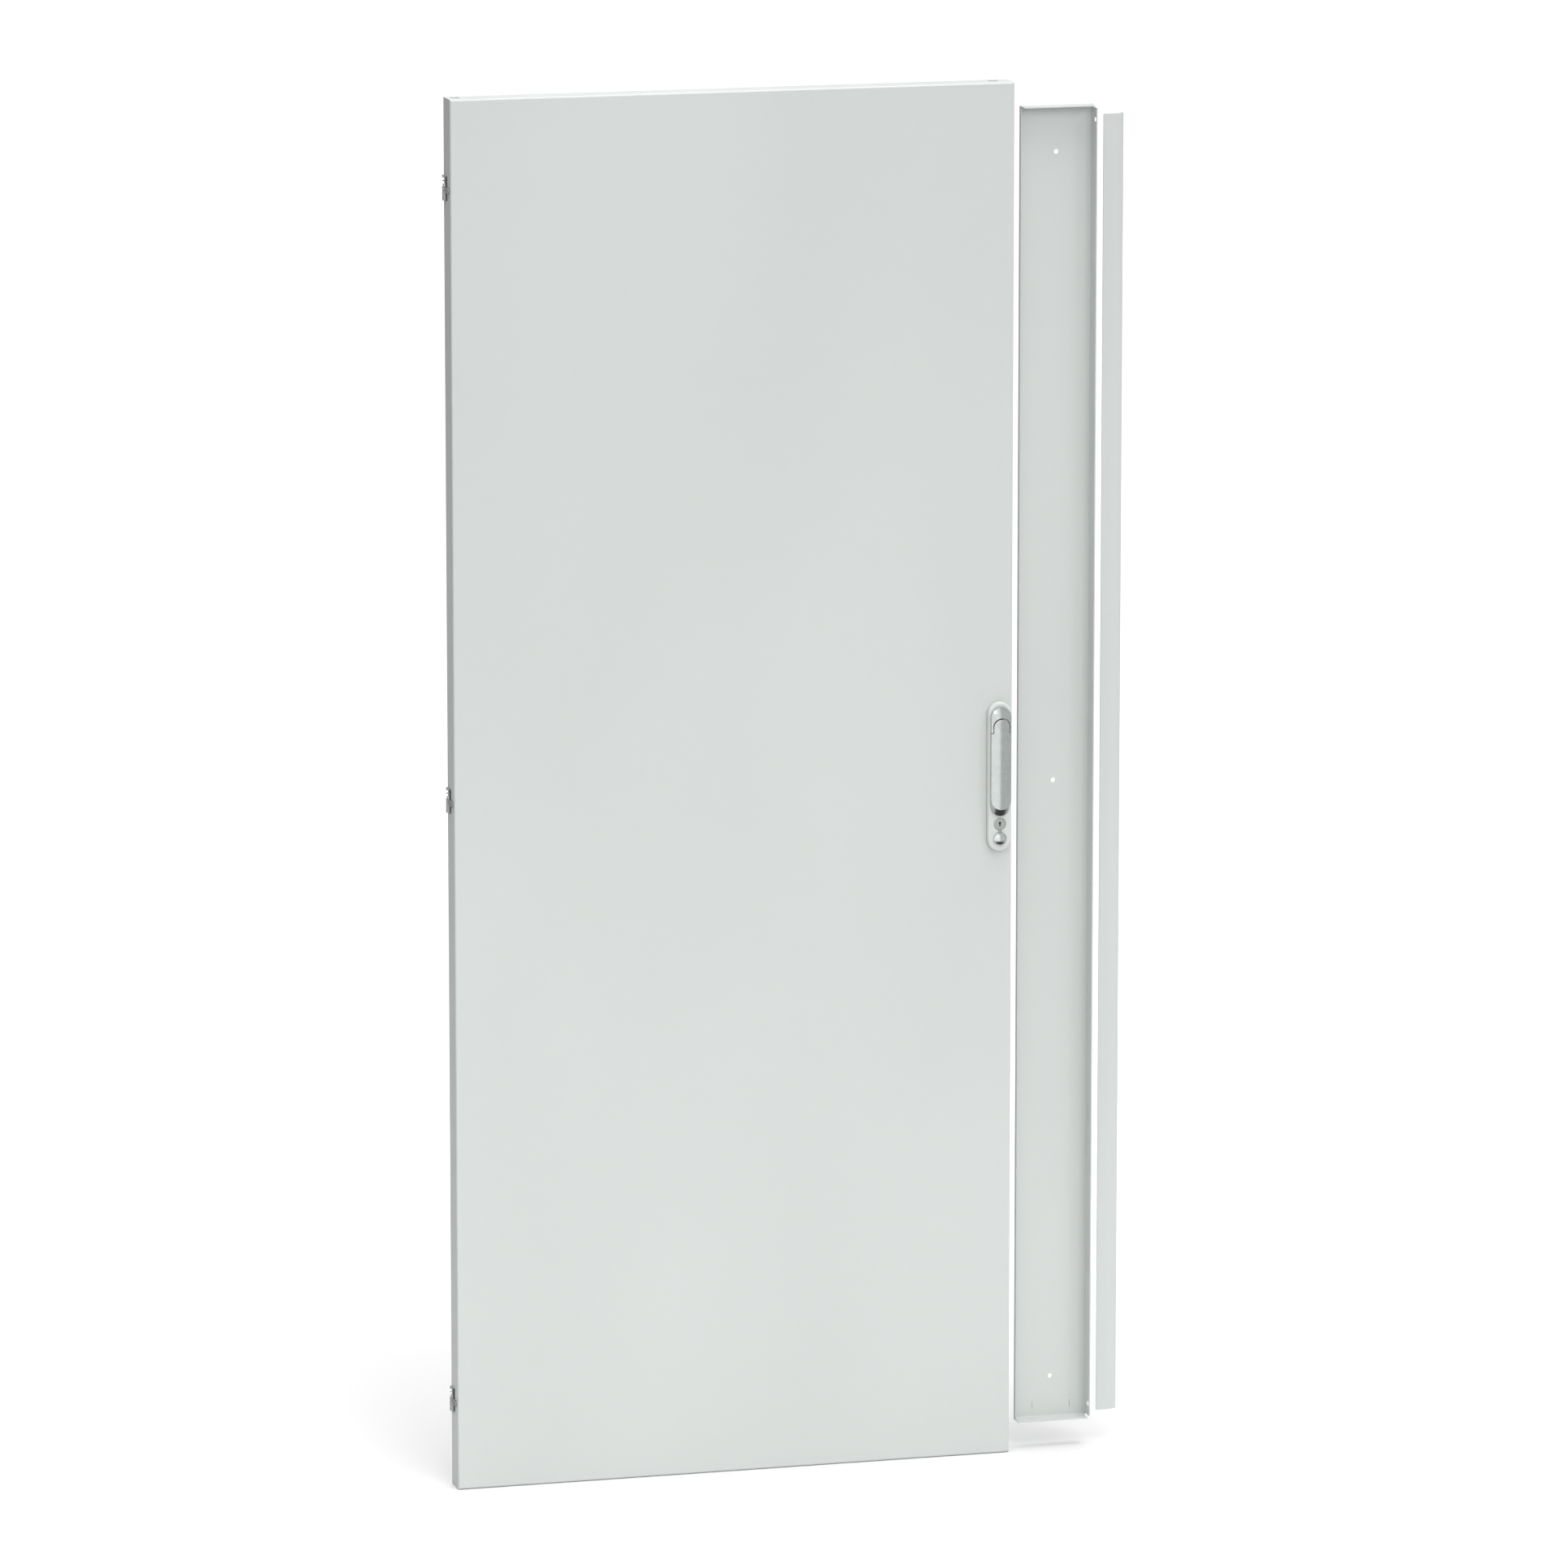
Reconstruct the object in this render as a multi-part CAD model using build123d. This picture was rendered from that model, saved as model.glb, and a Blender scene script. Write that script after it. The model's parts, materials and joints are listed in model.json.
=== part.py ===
from build123d import *
import math
import os

# Enclosure front kit: a folded door leaf with spring pin hinges and a swing handle, the dished side panel
# beside it and the narrow cover strip beside that.
# Millimetres. +X runs from the hinges to the handle, -Y faces whoever opens the door, +Z is up.
# The origin is the centre of the middle hinge plate's two screw holes, on the cabinet's front plane y = 0.

# ---- door leaf ----
DOOR_W = 793.0
DOOR_H = 1930.0
DOOR_D = 38.0
SHEET = 1.5
BEND_R = 2.5
RETURN_W = 12.0
BACK_GAP = 4.0
DOOR_Y1 = -BACK_GAP
DOOR_Y0 = DOOR_Y1 - DOOR_D
INNER_Y = DOOR_Y0 + SHEET
DOOR_Z = DOOR_H / 2

# ---- hinges: the pin axis lies in the plane of the door's left side ----
AXIS_X = -20.0
AXIS_Y = DOOR_Y0 + 31.0
HINGE_Z = {"top": 842.5, "middle": 0.0, "bottom": -842.5}
NOTCH_H = 35.0
NOTCH_DEPTH = 20.0
KNUCKLE_R = 4.0
PIN_R = 2.5
PIN_FIT = 0.05
PIN_TOP = 5.5
PIN_BOTTOM = -11.0
STUD_R = 1.2
EAR_T = 2.0
UPPER_EAR_Z = 15.5
MIDDLE_EAR_Z = -2.5
SPRING_R = 3.25
WIRE_R = 0.5
TAB_Z0 = -0.4
TAB_Z1 = 1.5
PLATE_T = 3.0
PLATE_HOLE_PITCH = 40.0
PLATE_HOLE_R = 2.75

DOOR_X0 = AXIS_X
DOOR_X1 = DOOR_X0 + DOOR_W

# ---- swing handle: depths are measured outwards from the door's front face ----
SPINDLE_X = DOOR_X1 - 19.5
SPINDLE_Z = 86.0
BASE_W = 34.0
BASE_L = 210.0
BASE_Z = 1.4
SEAL_T = 0.8
BASE_FACE = SEAL_T + 8.0
LEVER_W = 28.5
LEVER_BACK = BASE_FACE + 1.0
LEVER_FRONT = LEVER_BACK + 10.0
LEVER_TIP_Z = -52.7
CROWN_R = 22.0
COLLAR_R = 13.0
ARCH_R = 11.0
ARCH_GAP = 1.0
ARCH_Z = SPINDLE_Z - 12.5
ARCH_DROP = 0.6
LIFT_Z = SPINDLE_Z - 17.6
LIFT_Y = DOOR_Y0 - LEVER_BACK - 4.4
LIFT_PIN_R = 1.25
LIFT_PIN_HALF = 13.0
LIFT_MAX = 30.0
CHEEK_R = 4.3
NOSE_TILT = 57.0
NOSE_Z = LEVER_TIP_Z + 36.0
SQUARE = 8.0
LOCK_Z = SPINDLE_Z - 151.0
LOCK_R = 8.75
PLUG_R = 6.25
CAP_Z = LOCK_Z - 20.9
CAP_R = 9.6
CAP_PIVOT_Z = (LOCK_Z + CAP_Z) / 2
BASE_SCREW_Z = (SPINDLE_Z - 33.0, -45.0)

# ---- rod drive: depths below are measured inwards from the door's front face ----
MODULE = 1.5
TEETH = 12
PITCH_R = MODULE * TEETH / 2
PRESSURE = math.radians(20)
BACKLASH = 0.12
GEAR_D0 = 12.0
GEAR_D1 = 17.0
ROD_T = 3.0
ROD_X0 = 6.0
ROD_X1 = 13.0
LAP_Z0 = 46.0
LAP_Z1 = 70.0
ROD_END_Z = 60.0
BOX_HALF_Z = 28.0
BOX_HALF_X = 15.5
BOX_DEPTH = 21.0
BOX_WALL = 2.0
COVER_SCREW_Z = 22.5
ROLLER_R = 6.5
GUIDE_Z = (420.0, 820.0, -380.0, -820.0)

# ---- stiffening and earthing inside the leaf ----
STIFFENER_Z = 895.0
STIFFENER_X = (DOOR_X0 + 67.0, SPINDLE_X - 68.0)
STIFFENER_W = 30.0
CAGE_HOLES = 35
CAGE_PITCH = 50.0
CROSS_Z = (-450.0, 0.0, 450.0)
EARTH_X = 90.0
EARTH_Z = -880.0

# ---- side panel and cover strip ----
GROUP_Z = -3.4
PANEL_X0 = DOOR_X1 + 18.5
PANEL_W = 104.6
PANEL_H = 1856.0
PANEL_Z = -0.4
PANEL_D = 27.0
PANEL_LIP = 9.5
PANEL_HOLE_X = PANEL_X0 + PANEL_W / 2 + 1.0
PANEL_HOLE_R = 3.4
PANEL_HOLE_Z = (GROUP_Z - 866.0, -16.4, GROUP_Z + 866.0)
STRIP_X0 = PANEL_X0 + PANEL_W + 13.3
STRIP_W = 30.1
STRIP_H = 1834.7
STRIP_D = 12.0
STRIP_FLAT = 13.0
STRIP_DROP = 4.0
BRACKET_Z = (GROUP_Z - 800.0, GROUP_Z, GROUP_Z + 800.0)
BRACKET_HOLE_X = 19.5


# ---- plain shapes ----
def block(x0, x1, y0, y1, z0, z1):
    """A box between two corners."""
    low = (Align.MIN, Align.MIN, Align.MIN)
    return Pos(x0, y0, z0) * Box(x1 - x0, y1 - y0, z1 - z0, align=low)


def rod(start, length, radius, turn):
    """A cylinder from a start point along the turned +Z direction."""
    foot = (Align.CENTER, Align.CENTER, Align.MIN)
    return Pos(*start) * turn * Cylinder(radius, length, align=foot)


def rod_x(x0, x1, y, z, radius):
    return rod((x0, y, z), x1 - x0, radius, Rot(0, 90, 0))


def rod_y(x, y0, y1, z, radius):
    return rod((x, y0, z), y1 - y0, radius, Rot(-90, 0, 0))


def rod_z(x, y, z0, z1, radius):
    return rod((x, y, z0), z1 - z0, radius, Rot(0, 0, 0))


def out_y(depth):
    """The y of a point standing this far out from the door's front face."""
    return DOOR_Y0 - depth


def in_y(depth):
    """The y of a point this far behind the door's front face."""
    return DOOR_Y0 + depth


def prism_x(profile, x0, x1):
    """A profile drawn in (y, z), run along X."""
    return Pos(x0, 0, 0) * extrude(Plane.YZ * profile, x1 - x0)


def prism_y(profile, y0, y1):
    """A profile drawn in (x, z), run along Y."""
    return Pos(0, y1, 0) * extrude(Plane.XZ * profile, y1 - y0)


def prism_z(profile, z0, z1):
    """A profile drawn in (x, y), run along Z."""
    return Pos(0, 0, z0) * extrude(profile, z1 - z0)


def hexagon_y(x, y0, y1, z, across):
    """A hexagonal nut blank on a Y axis."""
    outline = Pos(x, z) * RegularPolygon(across / 2, 6, major_radius=False)
    return prism_y(outline, y0, y1)


def screw_y(x, z, y_tip, y_head, shank_r, head_r, head_t):
    """A pan-head screw on a Y axis: the shank runs from y_tip back to the head's seat at y_head."""
    shank = rod_y(x, y_tip, y_head, z, shank_r)
    head = rod_y(x, y_head, y_head + head_t, z, head_r)
    head = fillet(head.edges().sort_by(Axis.Y)[-1], head_t * 0.4)
    arm = head_r * 0.6
    drive = block(x - arm, x + arm, y_head + head_t * 0.5, y_head + head_t + 1, z - 0.5, z + 0.5)
    return shank + head - drive - Pos(x, 0, z) * Rot(0, 90, 0) * Pos(-x, 0, -z) * drive


# ---- door leaf ----
def folded_pan():
    """The leaf's outer skin: a front face, four flanges and the narrow returns behind them."""
    outer = block(DOOR_X0, DOOR_X1, DOOR_Y0, DOOR_Y1, -DOOR_Z, DOOR_Z)
    outer = fillet(outer.faces().sort_by(Axis.Y)[0].edges(), BEND_R)
    inner_x0, inner_x1, inner_z = DOOR_X0 + SHEET, DOOR_X1 - SHEET, DOOR_Z - SHEET
    inner = block(inner_x0, inner_x1, INNER_Y, DOOR_Y1 - SHEET, -inner_z, inner_z)
    inner = fillet(inner.faces().sort_by(Axis.Y)[0].edges(), BEND_R - SHEET)
    x0, x1, z1 = DOOR_X0 + RETURN_W, DOOR_X1 - RETURN_W, DOOR_Z - RETURN_W
    return outer - inner - block(x0, x1, DOOR_Y1 - SHEET - 1, DOOR_Y1 + 1, -z1, z1)


def corner_slits():
    """Mitre joints of the returns, one at each corner."""
    slits = []
    for x in (DOOR_X0, DOOR_X1):
        for z in (-DOOR_Z, DOOR_Z):
            tilt = 45 if (x < 0) == (z > 0) else -45
            slits.append(Pos(x, DOOR_Y1, z) * Rot(0, tilt, 0) * Box(60, 2 * SHEET + 1, 0.6))
    return slits


def flange_slots():
    """Drain and locating slots in the top and bottom flanges."""
    y0, y1 = DOOR_Y1 - 18, DOOR_Y1 - 7
    slots = []
    for z in (-DOOR_Z, DOOR_Z):
        slots.append(block(DOOR_X0 + 7, DOOR_X0 + 18, y0, y1, z - 3, z + 3))
        slots.append(block(DOOR_X1 - 31, DOOR_X1 - 18, y0, y1, z - 3, z + 3))
    return slots


def door_skin():
    """The folded leaf with its hinge notches, handle cut-outs and two weld studs."""
    cuts = corner_slits() + flange_slots()
    half = NOTCH_H / 2
    for z in HINGE_Z.values():
        cuts.append(block(DOOR_X0 - 1, DOOR_X0 + 16, DOOR_Y1 - NOTCH_DEPTH, DOOR_Y1 + 1, z - half, z + half))
    cuts.append(rod_y(SPINDLE_X, DOOR_Y0 - 1, INNER_Y + 1, SPINDLE_Z, 8.0))
    cuts.append(rod_y(SPINDLE_X, DOOR_Y0 - 1, INNER_Y + 1, LOCK_Z, LOCK_R + 0.5))
    for z in BASE_SCREW_Z:
        cuts.append(rod_y(SPINDLE_X, DOOR_Y0 - 1, INNER_Y + 1, z, 2.7))
    skin = folded_pan() - cuts
    skin += rod_y(SPINDLE_X - 6, INNER_Y - 0.2, in_y(12), SPINDLE_Z + 33, 2.0)
    skin += rod_y(EARTH_X, INNER_Y - 0.2, in_y(18), EARTH_Z, 3.0)
    return skin


def door_gasket():
    """A foam bead laid round the inside of the leaf, between the hinges and the rod drive."""
    x0, x1, z1 = DOOR_X0 + 24, SPINDLE_X - 24, DOOR_Z - 24
    wide = 12
    ring = block(x0, x1, INNER_Y, INNER_Y + 10, -z1, z1)
    ring -= block(x0 + wide, x1 - wide, INNER_Y - 1, INNER_Y + 11, -z1 + wide, z1 - wide)
    return fillet(ring.faces().sort_by(Axis.Y)[-1].edges(), 3)


def hat_section(width, height, foot):
    """A closed hat outline of sheet thickness, drawn in (across, out)."""
    half = width / 2
    brim = Rectangle(width + 2 * foot, SHEET, align=(Align.CENTER, Align.MIN))
    crown = Rectangle(width, height, align=(Align.CENTER, Align.MIN))
    hollow = Rectangle(width - 2 * SHEET, height - SHEET, align=(Align.CENTER, Align.MIN))
    return brim + crown - hollow


def upright_stiffener(x):
    """A vertical hat channel with a row of square cage-nut holes."""
    section = Pos(x, INNER_Y) * hat_section(STIFFENER_W, 18, 8)
    channel = prism_z(section, -STIFFENER_Z, STIFFENER_Z)
    for i in range(CAGE_HOLES):
        z = (i - (CAGE_HOLES - 1) / 2) * CAGE_PITCH
        channel -= block(x - 4.5, x + 4.5, INNER_Y + 15, INNER_Y + 20, z - 4.5, z + 4.5)
    return channel


def cross_stiffeners():
    """Three shallow horizontal channels between the uprights."""
    x0, x1 = STIFFENER_X[0] + 24, STIFFENER_X[1] - 24
    bars = []
    for z in CROSS_Z:
        section = Pos(INNER_Y, z) * Rot(0, 0, -90) * hat_section(26, 12, 7)
        bars.append(prism_x(section, x0, x1))
    return Compound(bars)


# ---- hinges ----
def frame_plate(zc):
    """The cabinet's half of a hinge: a screwed plate, a neck and the knuckle that takes the pin."""
    outline = Pos(-1, zc) * RectangleRounded(32, 64, 4)
    plate = prism_y(outline, -PLATE_T, 0)
    for dz in (-PLATE_HOLE_PITCH / 2, PLATE_HOLE_PITCH / 2):
        plate -= rod_y(0, -PLATE_T - 1, 1, zc + dz, PLATE_HOLE_R)
    z0, z1 = zc - 17, zc + MIDDLE_EAR_Z - 0.5
    knuckle = chamfer(rod_z(AXIS_X, AXIS_Y, z0, z1, KNUCKLE_R).edges().sort_by(Axis.Z)[-1], 0.8)
    neck = block(AXIS_X, AXIS_X + 7, AXIS_Y, -PLATE_T / 2, z0, z1 - 0.8)
    bore = rod_z(AXIS_X, AXIS_Y, z0 - 1, z1 + 1, PIN_R + PIN_FIT)
    return plate + neck + knuckle - bore


def hinge_block(zc):
    """The door's half of a hinge: a cast block with two ears and the stud that guides the pin's top."""
    inside = DOOR_X0 + SHEET
    body = block(inside, inside + 3, AXIS_Y - 28, AXIS_Y - 9, zc - NOTCH_H / 2 + 0.5, zc + NOTCH_H / 2)
    body = fillet(body.edges().filter_by(Axis.X), 1.2)
    for z0 in (zc + UPPER_EAR_Z, zc + MIDDLE_EAR_Z):
        body += block(AXIS_X - 0.2, inside + 3, AXIS_Y - 12.5, AXIS_Y, z0, z0 + EAR_T)
        body += rod_z(AXIS_X, AXIS_Y, z0, z0 + EAR_T, KNUCKLE_R)
    body -= rod_z(AXIS_X, AXIS_Y, zc + MIDDLE_EAR_Z - 1, zc + MIDDLE_EAR_Z + EAR_T + 1, PIN_R + PIN_FIT)
    body += rod_z(AXIS_X, AXIS_Y, zc + 2.5, zc + UPPER_EAR_Z + 0.5, STUD_R)
    for dz in (-8, 8):
        body -= rod_x(inside - 1, inside + 4, AXIS_Y - 21, zc + dz, 2.1)
    return body


def hinge_rivets():
    """Blind rivets through each hinge block, closed from inside the leaf."""
    inside = DOOR_X0 + SHEET
    rivets = []
    for zc in HINGE_Z.values():
        for dz in (-8, 8):
            head = rod_x(inside + 3, inside + 4.6, AXIS_Y - 21, zc + dz, 3.6)
            head = fillet(head.edges().sort_by(Axis.X)[-1], 0.9)
            rivets.append(head + rod_x(inside, inside + 3.5, AXIS_Y - 21, zc + dz, 2.05))
    return Compound(rivets)


def hinge_pin(zc):
    """The retractable pin: it fills the knuckle, and its hollow top slides on the block's stud."""
    pin = rod_z(AXIS_X, AXIS_Y, zc + PIN_BOTTOM, zc + PIN_TOP, PIN_R)
    pin = chamfer(pin.edges().sort_by(Axis.Z)[0], 0.7)
    return pin - rod_z(AXIS_X, AXIS_Y, zc - 7.5, zc + PIN_TOP + 1, STUD_R + PIN_FIT)


def pin_tab(zc):
    """The finger tab pressed on the pin: a ring under the spring and a plate along the door's side."""
    x0, x1 = AXIS_X - 2.0, AXIS_X - 0.5
    tab = rod_z(AXIS_X, AXIS_Y, zc + TAB_Z0, zc + TAB_Z1, KNUCKLE_R)
    tab += block(x0, x1, AXIS_Y - 6, AXIS_Y, zc + TAB_Z0, zc + TAB_Z1)
    plate = block(x0, x1, AXIS_Y - 26, AXIS_Y - KNUCKLE_R - 0.3, zc - 6, zc + 2)
    tab += fillet(plate.edges().filter_by(Axis.X).sort_by(Axis.Y)[:2], 2.5)
    return tab - rod_z(AXIS_X, AXIS_Y, zc - 8, zc + 8, PIN_R + 0.01)


def hinge_spring(zc):
    """The coil spring that holds the pin down, between the tab's ring and the upper ear."""
    z0 = zc + TAB_Z1 + 0.1 + WIRE_R
    height = UPPER_EAR_Z - TAB_Z1 - 0.2 - 2 * WIRE_R
    path = Helix(height / 2.5, height, SPRING_R)
    section = Plane(path @ 0, z_dir=path % 0) * Circle(WIRE_R)
    return Pos(AXIS_X, AXIS_Y, z0) * Rot(0, 0, 150) * sweep(section, path=path, is_frenet=True)


# ---- handle ----
def obround(width, length, z):
    """An upright slot outline centred on the spindle's line."""
    return Pos(SPINDLE_X, z) * Rot(0, 0, 90) * SlotOverall(length, width)


def handle_base():
    """The escutcheon: a cast obround with a soft edge, hollow behind."""
    body = prism_y(obround(BASE_W, BASE_L, BASE_Z), out_y(BASE_FACE), out_y(SEAL_T))
    body = fillet(body.faces().sort_by(Axis.Y)[0].edges(), 3.5)
    body -= rod_y(SPINDLE_X, out_y(BASE_FACE + 1), out_y(0), SPINDLE_Z, COLLAR_R + PIN_FIT)
    body -= rod_y(SPINDLE_X, out_y(BASE_FACE + 1), out_y(0), LOCK_Z, LOCK_R + PIN_FIT)
    body -= rod_y(SPINDLE_X, out_y(BASE_FACE + 1), out_y(3.5), CAP_PIVOT_Z, 1.25)
    body -= block(SPINDLE_X - 11, SPINDLE_X + 11, out_y(BASE_FACE - 3), out_y(0), -36, 45)
    for z in BASE_SCREW_Z:
        body -= rod_y(SPINDLE_X, out_y(BASE_FACE - 2.4), out_y(0), z, 2.0)
    return body


def base_seal():
    """A thin rubber seal under the escutcheon, pierced like the base."""
    seal = prism_y(obround(BASE_W - 1, BASE_L - 1, BASE_Z), out_y(SEAL_T), out_y(0))
    seal -= rod_y(SPINDLE_X, out_y(2), out_y(-1), SPINDLE_Z, COLLAR_R + 0.5)
    seal -= rod_y(SPINDLE_X, out_y(2), out_y(-1), LOCK_Z, LOCK_R + 0.3)
    for z in BASE_SCREW_Z:
        seal -= rod_y(SPINDLE_X, out_y(2), out_y(-1), z, 2.7)
    return seal


def base_screws():
    """Two screws from inside the leaf: the upper one also holds the rod drive's lower foot."""
    seats = (in_y(SHEET + 3.0), in_y(SHEET))
    screws = [screw_y(SPINDLE_X, z, out_y(5.5), seat, 1.95, 4.0, 2.6) for z, seat in zip(BASE_SCREW_Z, seats)]
    return Compound(screws)


def crown(z0, z1):
    """The handle's crowned front: the space behind a shallow cylinder that runs up and down."""
    return rod_z(SPINDLE_X, out_y(LEVER_FRONT - CROWN_R), z0, z1, CROWN_R)


def arch(radius, top, z0, y0, y1):
    """A prism with a round top whose centre is at height top, standing on z0."""
    x0, x1 = SPINDLE_X - radius, SPINDLE_X + radius
    return block(x0, x1, y0, y1, z0, top) + rod_y(SPINDLE_X, y0, y1, top, radius)


def about_lift(shape, angle):
    """Turn a shape about the lever's lift pin; a positive angle pulls the lever out."""
    return Pos(0, LIFT_Y, LIFT_Z) * Rot(-angle, 0, 0) * Pos(0, -LIFT_Y, -LIFT_Z) * shape


def lift_bore(half, radius):
    """A bar on the lift pin's axis."""
    return rod_x(SPINDLE_X - half, SPINDLE_X + half, LIFT_Y, LIFT_Z, radius)


def spindle_head():
    """The domed head that turns in the base: two cheeks hold the lever's tongue between them."""
    half = LEVER_W / 2
    front, back = out_y(LEVER_FRONT + 1), out_y(BASE_FACE + 0.2)
    ball = Pos(SPINDLE_X, out_y(LEVER_FRONT - CROWN_R), SPINDLE_Z) * Sphere(CROWN_R)
    dome = rod_y(SPINDLE_X, front, back, SPINDLE_Z, half) & ball
    dome &= block(0, DOOR_X1 + 20, front, back, SPINDLE_Z, SPINDLE_Z + 20)
    sides = block(SPINDLE_X - half, SPINDLE_X + half, front, back, LIFT_Z, SPINDLE_Z)
    sides += lift_bore(half, CHEEK_R)
    sides &= crown(LIFT_Z - 20, SPINDLE_Z + 1)
    head = dome + sides
    reach = ARCH_R + ARCH_GAP
    window = arch(reach, ARCH_Z, LIFT_Z - 30, front, out_y(LEVER_BACK - 0.2))
    head -= window
    head -= block(SPINDLE_X - reach, SPINDLE_X + reach, front, back + 1, 0, ARCH_Z - 1)
    head += rod_y(SPINDLE_X, back - 0.1, out_y(SEAL_T + 0.2), SPINDLE_Z, COLLAR_R) - window
    half_square = SQUARE / 2 + PIN_FIT
    head -= block(
        SPINDLE_X - half_square,
        SPINDLE_X + half_square,
        out_y(6),
        out_y(0),
        SPINDLE_Z - half_square,
        SPINDLE_Z + half_square,
    )
    return head - lift_bore(LIFT_PIN_HALF, LIFT_PIN_R)


def nose_bevel(half):
    """A long round-bottomed bar tilted back and down: what lies outside it is bevelled off the nose."""
    bar = rod_y(SPINDLE_X, -200, 200, 0, half)
    bar += block(SPINDLE_X - half, SPINDLE_X + half, -200, 200, 0, 200)
    return Pos(0, out_y(LEVER_FRONT), NOSE_Z) * Rot(-NOSE_TILT, 0, 0) * bar


def lever_body():
    """The lever's grip: crowned, round-ended, with a bevelled nose."""
    half = LEVER_W / 2
    front, back = out_y(LEVER_FRONT + 1), out_y(LEVER_BACK)
    end_z = LEVER_TIP_Z + half
    grip = block(SPINDLE_X - half, SPINDLE_X + half, front, back, end_z, LIFT_Z)
    grip += rod_y(SPINDLE_X, front, back, end_z, half)
    grip &= crown(LEVER_TIP_Z - 1, LIFT_Z)
    grip &= nose_bevel(half + 0.3)
    return grip - lift_bore(half + 1, CHEEK_R + ARCH_GAP)


def handle_lever():
    """The lever: its tongue thins towards the arch, so that it can swing back inside the head."""
    front, back = out_y(LEVER_FRONT + 1), out_y(LEVER_BACK)
    top, foot = ARCH_Z - ARCH_DROP, LIFT_Z - 8
    tongue = arch(ARCH_R, top, foot, front, back) & crown(foot, ARCH_Z + 20)
    tongue &= about_lift(block(0, DOOR_X1 + 20, front - 40, back, foot - 60, ARCH_Z + 60), -LIFT_MAX)
    lever = lever_body() + tongue
    pocket_front = out_y(LEVER_FRONT - 4)
    pocket = block(SPINDLE_X - 10, SPINDLE_X + 10, pocket_front, back + 1, LEVER_TIP_Z + 14, LIFT_Z - 14)
    lever -= fillet(pocket.edges().filter_by(Axis.Y), 4)
    return lever - lift_bore(LEVER_W, LIFT_PIN_R + PIN_FIT)


def lift_pin():
    """The cross pin on which the lever lifts."""
    return lift_bore(LIFT_PIN_HALF - 0.05, LIFT_PIN_R)


def square_spindle():
    """The square bar between the head and the pinion."""
    half = SQUARE / 2
    x, z = SPINDLE_X, SPINDLE_Z
    return block(x - half, x + half, out_y(5.8), in_y(BOX_DEPTH + 1.5), z - half, z + half)


def lock_body():
    """The fixed barrel of the key lock."""
    barrel = rod_y(SPINDLE_X, out_y(BASE_FACE + 0.1), in_y(9), LOCK_Z, LOCK_R)
    barrel -= rod_y(SPINDLE_X, out_y(BASE_FACE + 1), in_y(10), LOCK_Z, PLUG_R + PIN_FIT)
    return chamfer(barrel.edges().group_by(Axis.Y)[0].sort_by(SortBy.RADIUS)[-1], 0.7)


def lock_nut():
    """The hexagonal nut that clamps the lock to the leaf."""
    nut = hexagon_y(SPINDLE_X, INNER_Y, INNER_Y + 4, LOCK_Z, 24)
    return nut - rod_y(SPINDLE_X, INNER_Y - 1, INNER_Y + 5, LOCK_Z, LOCK_R)


def lock_plug():
    """The plug that the key turns, with its keyhole and the square tang behind it."""
    front = out_y(BASE_FACE + 0.1)
    plug = rod_y(SPINDLE_X, front, in_y(9.1), LOCK_Z, PLUG_R)
    plug += block(SPINDLE_X - 3, SPINDLE_X + 3, in_y(9), in_y(11.2), LOCK_Z - 3, LOCK_Z + 3)
    keyhole = rod_y(SPINDLE_X, front - 1, front + 13, LOCK_Z + 1.5, 1.7)
    keyhole += block(SPINDLE_X - 0.9, SPINDLE_X + 0.9, front - 1, front + 13, LOCK_Z - 3.2, LOCK_Z + 1.5)
    return plug - keyhole - rod_y(SPINDLE_X, in_y(4), in_y(12), LOCK_Z, 1.6)


def lock_cam():
    """The cam plate on the plug's tang."""
    outline = Pos(SPINDLE_X, LOCK_Z + 6) * Rot(0, 0, 90) * SlotOverall(26, 13)
    cam = prism_y(outline, in_y(9.2), in_y(11.2))
    return cam - block(SPINDLE_X - 3.05, SPINDLE_X + 3.05, in_y(9), in_y(12), LOCK_Z - 3.05, LOCK_Z + 3.05)


def cam_screw():
    """The screw that keeps the cam on."""
    return screw_y(SPINDLE_X, LOCK_Z, in_y(5), in_y(11.2), 1.55, 4.4, 2.0)


def dust_cap():
    """The domed cap that swings up over the lock."""
    under = out_y(BASE_FACE + 0.4)
    ball_r = 10.7
    dome = rod_y(SPINDLE_X, under - 8, under, CAP_Z, CAP_R)
    dome &= Pos(SPINDLE_X, under + 4.2, CAP_Z) * Sphere(ball_r)
    lug = rod_y(SPINDLE_X, under - 1.8, under, CAP_PIVOT_Z, 2.6)
    lug += block(SPINDLE_X - 2.6, SPINDLE_X + 2.6, under - 1.8, under, CAP_Z, CAP_PIVOT_Z)
    thumb = Pos(SPINDLE_X + 5.2, 0, CAP_Z + 6.9) * Rot(0, 25, 0)
    cap = dome - thumb * block(-8, 8, under - 12, under - 1.8, 0, 8)
    cap -= rod_y(SPINDLE_X, under - 9, under - 1.8, CAP_PIVOT_Z, 2.3)
    return cap + lug - rod_y(SPINDLE_X, under - 9, under + 1, CAP_PIVOT_Z, 1.25)


def cap_pivot():
    """The headed pin on which the dust cap turns."""
    neck = out_y(BASE_FACE + 2.3)
    pin = rod_y(SPINDLE_X, neck, out_y(3.7), CAP_PIVOT_Z, 1.2)
    return pin + rod_y(SPINDLE_X, neck - 0.8, neck, CAP_PIVOT_Z, 2.0)


# ---- rod drive ----
def involute(angle):
    return math.tan(angle) - angle


def tooth_half_angle(radius):
    """Half the pinion tooth's angular width at a radius."""
    base_r = PITCH_R * math.cos(PRESSURE)
    at_pitch = math.pi / (2 * TEETH) - BACKLASH / (2 * PITCH_R)
    slope = math.acos(min(1, base_r / radius))
    return at_pitch + involute(PRESSURE) - involute(slope)


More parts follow.
